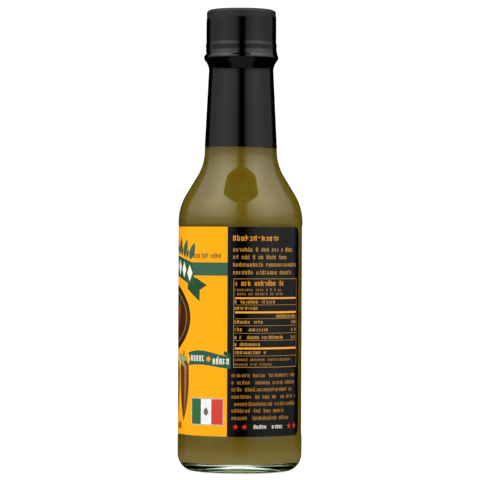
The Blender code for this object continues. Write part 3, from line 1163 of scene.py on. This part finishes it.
TABLE_LIGHT_DROP = (0.0, -0.1)
BACKDROP_SIDES = (0.18, 0.12)
BACKDROP_FRONT = (-0.6, -0.4)  # y where it ends above the bottle
BACKDROP_TOP = (0.7, 0.4)
WHITE_SEEN = 1.1  # the background that the camera sees


def make_camera():
    lens = bpy.data.cameras.new("camera")
    lens.lens = CAMERA_LENS
    lens.sensor_width = CAMERA_SENSOR
    lens.clip_start = 0.01
    lens.clip_end = 50
    camera = set_in_scene("camera", lens)
    camera.location = (CAMERA_ASIDE, -CAMERA_DISTANCE, CAMERA_HEIGHT)
    camera.rotation_euler = (math.pi / 2, CAMERA_ROLL, 0)
    bpy.context.scene.camera = camera


def make_floor():
    mesh = bpy.data.meshes.new("floor")
    half = FLOOR_HALF
    mesh.from_pydata([(-half, -half, 0), (half, -half, 0), (half, half, 0), (-half, half, 0)],
                     [], [(0, 1, 2, 3)])
    material, tree, shader = new_finish("white floor", 0.9, specular=0.0)
    feed(tree, shader, {"Base Color": (FLOOR_SHADE, FLOOR_SHADE, FLOOR_SHADE, 1),
                        "Emission Color": (1, 1, 1, 1), "Emission Strength": FLOOR_GLOW})
    mesh.materials.append(material)
    floor = set_in_scene("floor", mesh)
    floor.location.z = -FLOOR_BELOW
    floor.visible_glossy = False
    floor.visible_transmission = False


def tent_directions(tree):
    """A direction's distance aside of the tent's middle, its y and its z."""
    place = node(tree, "ShaderNodeTexCoord").outputs["Generated"]
    x, y, z = node(tree, "ShaderNodeSeparateXYZ", {0: place}).outputs
    turned_x = math_node(tree, "ADD", x, product(tree, y, TENT_TURN))
    return math_node(tree, "ABSOLUTE", turned_x), y, z


def tent_walls(tree, aside, y, z):
    """The light of the tent's cloth."""
    front = product(tree, y, -1.0)
    turn = math_node(tree, "DIVIDE", math_node(tree, "ARCTAN2", aside, front), math.pi)
    by_turn = ramp(tree, turn, [(angle / 180, (value,) * 3) for angle, value in TENT_ROUND])
    up = math_node(tree, "DIVIDE", math_node(tree, "ARCSINE", z), math.pi)
    by_rise = ramp(tree, math_node(tree, "ADD", up, 0.5),
                   [((angle + 90) / 180, (value,) * 3) for angle, value in TENT_RISE])
    return product(tree, by_turn, by_rise, TENT_BRIGHTEST, fading(tree, y, *TENT_BACK))


def beside_opening(tree, aside, y, z):
    """0 in the opening above the camera, which is round at its lower end, else 1."""
    low, wide = math.sin(OPENING_LOW), math.sin(OPENING_WIDE)
    grown = math_node(tree, "DIVIDE", math_node(tree, "SUBTRACT", z, low), wide - low, clamp=True)
    edge = product(tree, math_node(tree, "SQRT", grown), OPENING_HALF)
    beside = fading(tree, math_node(tree, "SUBTRACT", aside, edge), -OPENING_EDGE, OPENING_EDGE)
    above = fading(tree, z, math.sin(OPENING_TOP[0]), math.sin(OPENING_TOP[1]))
    closed = math_node(tree, "MAXIMUM", beside, above)
    return math_node(tree, "MAXIMUM", closed, fading(tree, y, *OPENING_BACK))


def mirrored_table(tree, aside, y, z):
    """The dim table in front of the bottle."""
    reach = math_node(tree, "SUBTRACT", aside, product(tree, z, TABLE_TAPER))
    return product(tree, fading(tree, z, *TABLE_DROP), fading(tree, reach, *TABLE_SIDES),
                   fading(tree, y, *TABLE_BACK), TABLE_GLOW)


def white_surroundings(tree, aside, y, z, scattered):
    """The white backdrop behind the bottle, and the white table under the sauce."""
    backdrop = product(tree, fading(tree, aside, *BACKDROP_SIDES),
                       fading(tree, y, *BACKDROP_FRONT), fading(tree, z, *BACKDROP_TOP))
    under = product(tree, fading(tree, z, *TABLE_LIGHT_DROP), scattered, TABLE_LIGHT)
    return math_node(tree, "MAXIMUM", backdrop, under)


def make_light_tent():
    """The dim table shows only in reflections, and the white surroundings never do."""
    world = bpy.data.worlds.new("light tent")
    bpy.context.scene.world = world
    world.use_nodes = True
    tree = world.node_tree
    tree.nodes.clear()
    where = tent_directions(tree)
    ray = node(tree, "ShaderNodeLightPath")
    straight = math_node(tree, "SUBTRACT", 1.0, ray.outputs["Is Transmission Ray"])
    glossy = product(tree, ray.outputs["Is Glossy Ray"], straight)
    scattered = math_node(tree, "GREATER_THAN", ray.outputs["Diffuse Depth"], 0.5)
    tent = product(tree, tent_walls(tree, *where), beside_opening(tree, *where))
    table = product(tree, mirrored_table(tree, *where), glossy)
    white = product(tree, white_surroundings(tree, *where, scattered),
                    math_node(tree, "SUBTRACT", 1.0, glossy))
    light = math_node(tree, "ADD", math_node(tree, "ADD", tent, table), white)
    seen = product(tree, ray.outputs["Is Camera Ray"], WHITE_SEEN)
    sky = node(tree, "ShaderNodeBackground",
               {"Color": (1, 1, 1, 1), "Strength": math_node(tree, "MAXIMUM", light, seen)})
    node(tree, "ShaderNodeOutputWorld", {"Surface": sky.outputs[0]})


def make_back_light():
    """Lights the far side evenly, and isn't mirrored in glass or film."""
    lamp = bpy.data.lights.new("back light", "AREA")
    lamp.shape = "RECTANGLE"
    lamp.size, lamp.size_y = BACK_LIGHT_SIZE
    lamp.energy = BACK_LIGHT_POWER
    holder = set_in_scene("back light", lamp)
    holder.location = BACK_LIGHT_PLACE
    holder.rotation_euler = (BACK_LIGHT_TILT, 0, 0)
    holder.visible_glossy = False
    holder.visible_camera = False


def set_view():
    scene = bpy.context.scene
    scene.view_settings.view_transform = "Standard"
    scene.view_settings.look = "None"
    scene.cycles.use_denoising = True
    scene.cycles.max_bounces = 24
    scene.cycles.transmission_bounces = 20
    scene.cycles.glossy_bounces = 20
    scene.cycles.diffuse_bounces = 4
    scene.cycles.caustics_refractive = True
    scene.cycles.caustics_reflective = True


make_camera()
make_floor()
make_light_tent()
make_back_light()
set_view()
make_glass()
make_sauce()
make_label()
make_cap()
make_film()
mark_tree = marks_tree()
printed_text_panel(mark_tree)
printed_front(mark_tree)
printed_far_panel(mark_tree)
